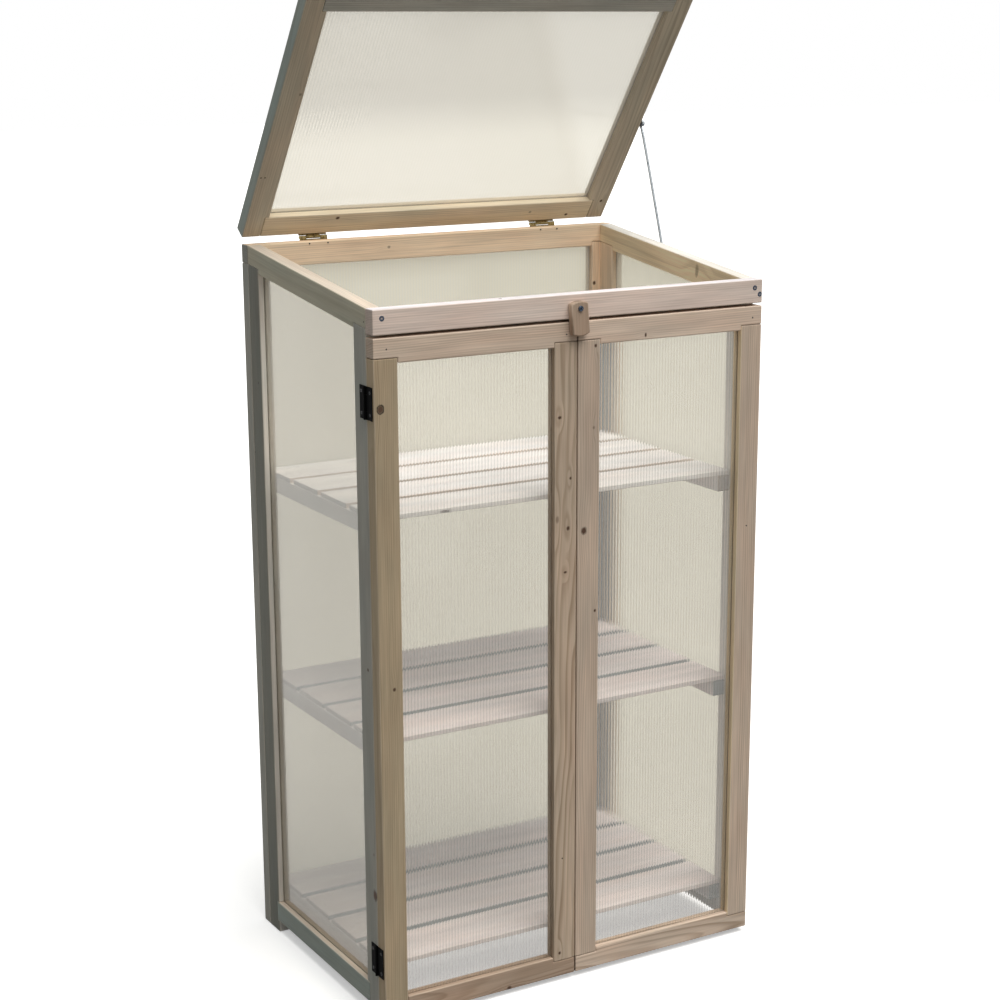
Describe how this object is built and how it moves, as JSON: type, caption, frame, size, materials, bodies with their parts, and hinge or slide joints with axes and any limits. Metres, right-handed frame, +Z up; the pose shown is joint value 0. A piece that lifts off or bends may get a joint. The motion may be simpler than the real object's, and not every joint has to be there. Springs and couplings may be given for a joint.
{
  "type": "wooden mini greenhouse",
  "caption": "Free-standing glazed wooden cabinet with two front doors, a hinged lid on a wire stay, a turn button and slatted shelves.",
  "frame": {"origin": "middle of the overall box in plan, on the floor under the feet, with the lid open on its stay", "axes": "+Z up, +X to the right seen from the doors, +Y from the doors to the back"},
  "size_m": [0.7142, 0.5142, 1.5999],
  "materials": {
    "fir": "planed fir with a thin pale stain",
    "shelf_fir": "planed bare fir",
    "twin_wall_sheet": "translucent fluted polycarbonate",
    "black_steel": "black lacquered steel",
    "brass": "brass-plated steel",
    "zinc": "bright zinc-plated steel"
  },
  "bodies": {
    "cabinet": {"back_left_stile": "fir", "back_right_stile": "fir", "back_top_rail": "fir", "back_bottom_rail": "fir", "back_glazing": "twin_wall_sheet", "left_side_front_stile": "fir", "left_side_rear_stile": "fir", "left_side_top_rail": "fir", "left_side_bottom_rail": "fir", "left_side_glazing": "twin_wall_sheet", "right_side_front_stile": "fir", "right_side_rear_stile": "fir", "right_side_top_rail": "fir", "right_side_bottom_rail": "fir", "right_side_glazing": "twin_wall_sheet", "header_rail": "fir", "left_door_upper_hinge_frame_leaf": "black_steel", "left_door_lower_hinge_frame_leaf": "black_steel", "right_door_upper_hinge_frame_leaf": "black_steel", "right_door_lower_hinge_frame_leaf": "black_steel", "lid_left_hinge_frame_leaf": "brass", "lid_right_hinge_frame_leaf": "brass", "stay_hook_screw": "zinc", "turn_button_screw": "zinc", "top_shelf_slat_1": "shelf_fir", "top_shelf_slat_2": "shelf_fir", "top_shelf_slat_3": "shelf_fir", "top_shelf_rear_slat_and_bearers": "shelf_fir", "middle_shelf_slat_1": "shelf_fir", "middle_shelf_slat_2": "shelf_fir", "middle_shelf_slat_3": "shelf_fir", "middle_shelf_rear_slat_and_bearers": "shelf_fir", "bottom_shelf_slat_1": "shelf_fir", "bottom_shelf_slat_2": "shelf_fir", "bottom_shelf_slat_3": "shelf_fir", "bottom_shelf_rear_slat_and_bearers": "shelf_fir"},
    "left_door": {"left_door_left_stile": "fir", "left_door_right_stile": "fir", "left_door_top_rail": "fir", "left_door_bottom_rail": "fir", "left_door_glazing": "twin_wall_sheet", "left_door_upper_hinge_door_leaf": "black_steel", "left_door_lower_hinge_door_leaf": "black_steel"},
    "right_door": {"right_door_left_stile": "fir", "right_door_right_stile": "fir", "right_door_top_rail": "fir", "right_door_bottom_rail": "fir", "right_door_glazing": "twin_wall_sheet", "right_door_upper_hinge_door_leaf": "black_steel", "right_door_lower_hinge_door_leaf": "black_steel"},
    "lid": {"lid_left_rail": "fir", "lid_right_rail": "fir", "lid_hinge_rail": "fir", "lid_front_rail": "fir", "lid_glazing": "twin_wall_sheet", "lid_left_hinge_lid_leaf": "brass", "lid_right_hinge_lid_leaf": "brass", "stay_pivot_screw": "zinc"},
    "stay": {"lid_stay": "zinc"},
    "button": {"turn_button": "fir"}
  },
  "joints": [
    {"name": "left_door_hinge", "type": "hinge", "parent": "cabinet", "child": "left_door", "pos_m": [-0.35455, -0.21783, 0.55175], "axis": [0, 0, -1], "range_deg": [0, 175]},
    {"name": "right_door_hinge", "type": "hinge", "parent": "cabinet", "child": "right_door", "pos_m": [0.35085, -0.21783, 0.55175], "axis": [0, 0, 1], "range_deg": [0, 175]},
    {"name": "lid_hinge", "type": "hinge", "parent": "cabinet", "child": "lid", "pos_m": [0, 0.23572, 1.1925], "axis": [-1, 0, 0], "range_deg": [-60.8, 119]},
    {"name": "stay_swing", "type": "hinge", "parent": "lid", "child": "stay", "pos_m": [0.35205, 0.12198, 1.36667], "axis": [1, 0, 0], "range_deg": [-120, 55]},
    {"name": "button_turn", "type": "hinge", "parent": "cabinet", "child": "button", "pos_m": [-0.00485, -0.24838, 1.116], "axis": [0, 1, 0], "range_deg": [-90, 90]}
  ]
}
